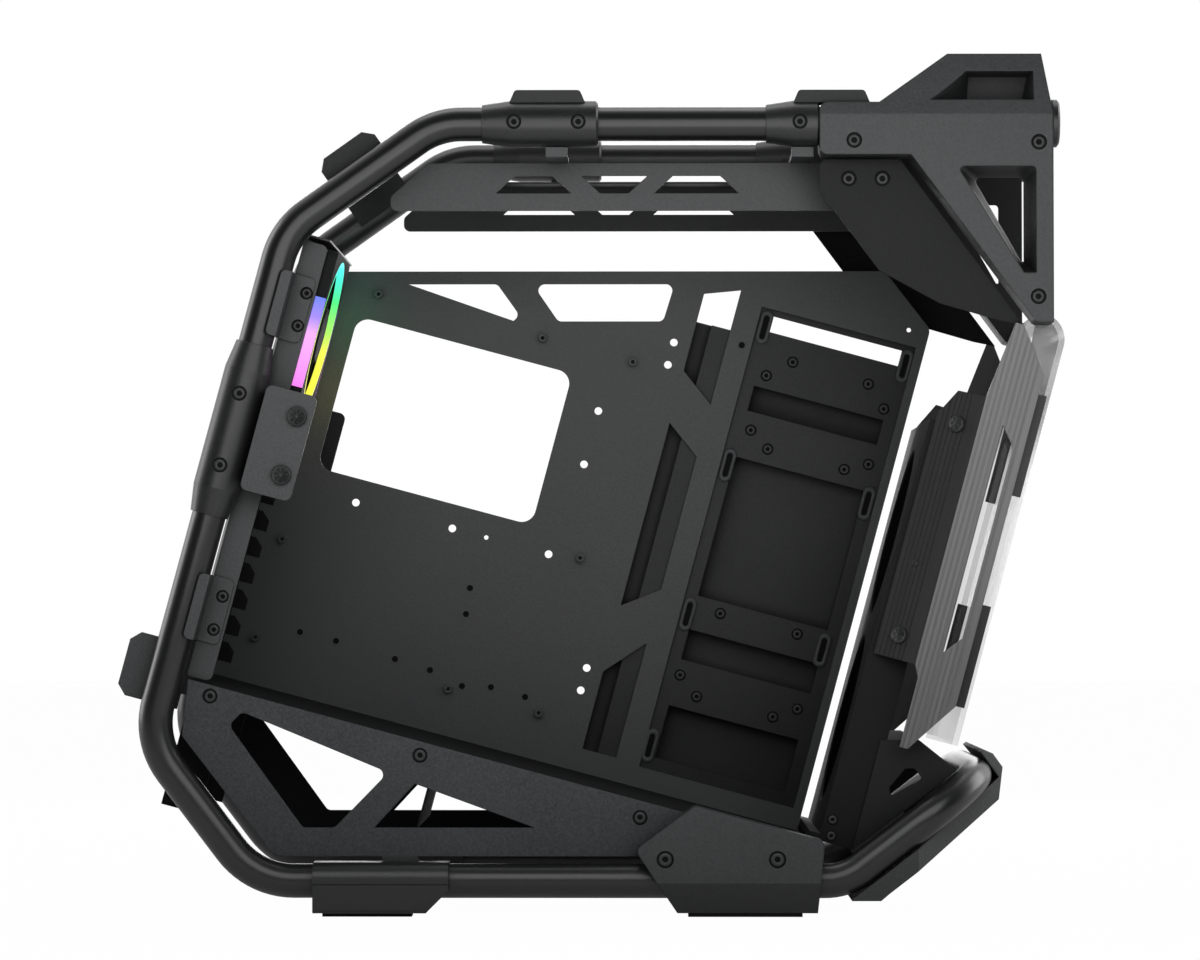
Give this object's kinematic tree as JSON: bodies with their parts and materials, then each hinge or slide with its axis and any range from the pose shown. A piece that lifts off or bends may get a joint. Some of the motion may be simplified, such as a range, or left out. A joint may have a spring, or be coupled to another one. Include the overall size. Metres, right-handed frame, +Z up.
{
  "type": "mid tower pc case",
  "caption": "Black open-frame computer case with a bent tube frame, a leaning board tray, a folded power supply shroud, ribbed side fins, a glass front and carry handles.",
  "frame": {"origin": "middle of the base, on the floor", "axes": "+X to the front, +Y to the right side, +Z up"},
  "size_m": [0.6952, 0.298, 0.629],
  "materials": {
    "tube_black": "gloss",
    "coupler_black": "matte",
    "sheet_black": "satin",
    "tray_black": "satin",
    "moulded_black": "matte",
    "button_black": "gloss",
    "port_steel": "satin",
    "rubber": "matte",
    "screw_black": "satin",
    "standoff_steel": "satin",
    "fan_black": "matte",
    "fan_light": "lit",
    "fin_aluminium": "brushed",
    "front_glass": "clear"
  },
  "bodies": {
    "case": {"board_tray": "tray_black", "bracket_hangers": "sheet_black", "bumper_guard": "moulded_black", "bumper_tube": "tube_black", "cable_brackets": "sheet_black", "chin_bracket": "sheet_black", "coupler_pads": "rubber", "drive_back": "tray_black", "drive_frame": "tray_black", "foot_pads": "rubber", "front_fan_bracket": "sheet_black", "front_glass": "front_glass", "glass_strips": "coupler_black", "handle_bar": "moulded_black", "left_base_tube": "tube_black", "left_corner_plate": "sheet_black", "left_fin": "fin_aluminium", "left_front_coupler": "coupler_black", "left_front_foot": "moulded_black", "left_handle_block": "moulded_black", "left_rear_coupler": "coupler_black", "left_rear_foot": "moulded_black", "left_rear_tube": "tube_black", "left_thumb_plate": "sheet_black", "left_top_coupler": "coupler_black", "left_top_tube": "tube_black", "lower_rear_brace": "sheet_black", "port_shells": "port_steel", "rear_fan_frame": "fan_black", "rear_fan_lights": "fan_light", "rear_panel": "sheet_black", "right_base_tube": "tube_black", "right_corner_plate": "sheet_black", "right_fin": "fin_aluminium", "right_front_coupler": "coupler_black", "right_front_foot": "moulded_black", "right_handle_block": "moulded_black", "right_rear_coupler": "coupler_black", "right_rear_foot": "moulded_black", "right_rear_tube": "tube_black", "right_thumb_plate": "sheet_black", "right_top_coupler": "coupler_black", "right_top_tube": "tube_black", "slot_covers": "sheet_black", "standoffs": "standoff_steel", "supply_frame": "sheet_black", "supply_shroud": "sheet_black", "supply_stop": "sheet_black", "thumbscrews": "screw_black", "top_fan_bracket": "sheet_black", "tube_caps": "coupler_black", "tube_clips": "sheet_black", "upper_rear_brace": "sheet_black"},
    "fan_rotor": {"rear_fan_rotor": "fan_black"},
    "power_button": {"power_button": "button_black"},
    "light_button": {"light_button": "button_black"}
  },
  "joints": [
    {"name": "fan_spin", "type": "hinge", "parent": "case", "child": "fan_rotor", "pos_m": [-0.21421, -0.05, 0.43113], "axis": [0.9659, 0, -0.2588], "continuous": true},
    {"name": "power_press", "type": "slide", "parent": "case", "child": "power_button", "axis": [0, 0, -1], "range_m": [0, 0.001], "stiffness_N_per_m": 400},
    {"name": "light_press", "type": "slide", "parent": "case", "child": "light_button", "axis": [0, 0, -1], "range_m": [0, 0.001], "stiffness_N_per_m": 400}
  ]
}
